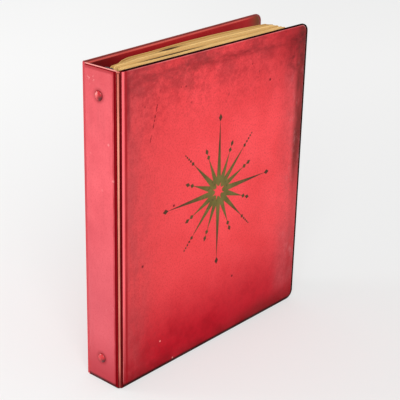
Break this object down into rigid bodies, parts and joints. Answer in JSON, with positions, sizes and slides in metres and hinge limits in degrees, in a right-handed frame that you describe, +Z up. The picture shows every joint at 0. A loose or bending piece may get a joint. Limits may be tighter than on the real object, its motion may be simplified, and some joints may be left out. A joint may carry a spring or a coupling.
{
  "type": "stamp album",
  "caption": "Upright ring-binder stamp album: sealed red vinyl case with foil star, hinged covers, opening rings with end levers, and punched leaves that turn.",
  "frame": {"origin": "on the floor, under the middle of the spine's welded sheet", "axes": "+X from the spine to the fore edge, +Y from the front cover to the rear one, +Z up"},
  "size_m": [0.2557, 0.0598, 0.292],
  "materials": {
    "vinyl": "red grained vinyl, scuffed and soiled at the edges",
    "vinyl_lining": "darker red smooth vinyl",
    "board": "grey-brown millboard",
    "foil": "dull olive-gold blocked foil",
    "rivet_enamel": "red enamel, glossy",
    "ring_wire": "nickel plate",
    "mechanism_steel": "nickel-plated pressed steel, slightly dulled",
    "leaf_paper": "yellowed album paper"
  },
  "bodies": {
    "spine": {"spine_skin": "vinyl", "spine_lining": "vinyl_lining", "spine_board": "board", "front_hinge_rib": "vinyl", "rear_hinge_rib": "vinyl", "ring_plate": "mechanism_steel", "spine_rivets": "rivet_enamel", "rivet_spacers": "mechanism_steel", "lever_pins": "mechanism_steel"},
    "front_cover": {"front_cover_skin": "vinyl", "front_cover_lining": "vinyl_lining", "front_cover_board": "board", "foil_star": "foil"},
    "rear_cover": {"rear_cover_skin": "vinyl", "rear_cover_lining": "vinyl_lining", "rear_cover_board": "board"},
    "front_rings": {"front_blade": "mechanism_steel", "front_half_ring_1": "ring_wire", "front_half_ring_2": "ring_wire", "front_half_ring_3": "ring_wire"},
    "rear_rings": {"rear_blade": "mechanism_steel", "rear_half_ring_1": "ring_wire", "rear_half_ring_2": "ring_wire", "rear_half_ring_3": "ring_wire"},
    "top_lever": {"top_lever": "mechanism_steel"},
    "bottom_lever": {"bottom_lever": "mechanism_steel"},
    "front_inner_leaves": {"leaf_section_4": "leaf_paper"},
    "front_outer_leaves": {"leaf_section_1": "leaf_paper", "leaf_section_2": "leaf_paper", "leaf_section_3": "leaf_paper"},
    "rear_inner_leaves": {"leaf_section_5": "leaf_paper"},
    "rear_outer_leaves": {"leaf_section_6": "leaf_paper", "leaf_section_7": "leaf_paper", "leaf_section_8": "leaf_paper", "leaf_section_9": "leaf_paper"}
  },
  "joints": [
    {"name": "front_cover_hinge", "type": "hinge", "parent": "spine", "child": "front_cover", "pos_m": [0, -0.0209, 0.146], "axis": [0, 0, -1], "range_deg": [0, 180]},
    {"name": "rear_cover_hinge", "type": "hinge", "parent": "spine", "child": "rear_cover", "pos_m": [0, 0.0209, 0.146], "axis": [0, 0, 1], "range_deg": [0, 180]},
    {"name": "front_ring_open", "type": "hinge", "parent": "spine", "child": "front_rings", "pos_m": [0.0033, -0.0096, 0.146], "axis": [0, 0, -1], "range_deg": [0, 9]},
    {"name": "rear_ring_open", "type": "hinge", "parent": "spine", "child": "rear_rings", "pos_m": [0.0033, 0.0096, 0.146], "axis": [0, 0, 1], "range_deg": [0, 9]},
    {"name": "top_lever_tilt", "type": "hinge", "parent": "spine", "child": "top_lever", "pos_m": [0.0033, 0, 0.2815], "axis": [0, -1, 0], "range_deg": [0, 16]},
    {"name": "bottom_lever_tilt", "type": "hinge", "parent": "spine", "child": "bottom_lever", "pos_m": [0.0033, 0, 0.0105], "axis": [0, 1, 0], "range_deg": [0, 16]},
    {"name": "front_leaf_float", "type": "hinge", "parent": "front_rings", "child": "front_inner_leaves", "pos_m": [0.018, 0, 0.146], "axis": [0, 0, 1], "range_deg": [0, 9]},
    {"name": "rear_leaf_float", "type": "hinge", "parent": "rear_rings", "child": "rear_inner_leaves", "pos_m": [0.018, 0, 0.146], "axis": [0, 0, -1], "range_deg": [0, 9]},
    {"name": "front_leaf_turn", "type": "hinge", "parent": "front_inner_leaves", "child": "front_outer_leaves", "pos_m": [0.018, 0, 0.146], "axis": [0, 0, -1], "range_deg": [0, 90]},
    {"name": "rear_leaf_turn", "type": "hinge", "parent": "rear_inner_leaves", "child": "rear_outer_leaves", "pos_m": [0.018, 0, 0.146], "axis": [0, 0, 1], "range_deg": [0, 90]}
  ],
  "couplings": [
    {"joint": "rear_ring_open", "follows": "front_ring_open", "ratio": 1},
    {"joint": "top_lever_tilt", "follows": "front_ring_open", "ratio": 1.7778},
    {"joint": "bottom_lever_tilt", "follows": "front_ring_open", "ratio": 1.7778},
    {"joint": "front_leaf_float", "follows": "front_ring_open", "ratio": 1},
    {"joint": "rear_leaf_float", "follows": "front_ring_open", "ratio": 1},
    {"joint": "front_leaf_turn", "follows": "front_cover_hinge", "ratio": 0.5},
    {"joint": "rear_leaf_turn", "follows": "rear_cover_hinge", "ratio": 0.5}
  ]
}
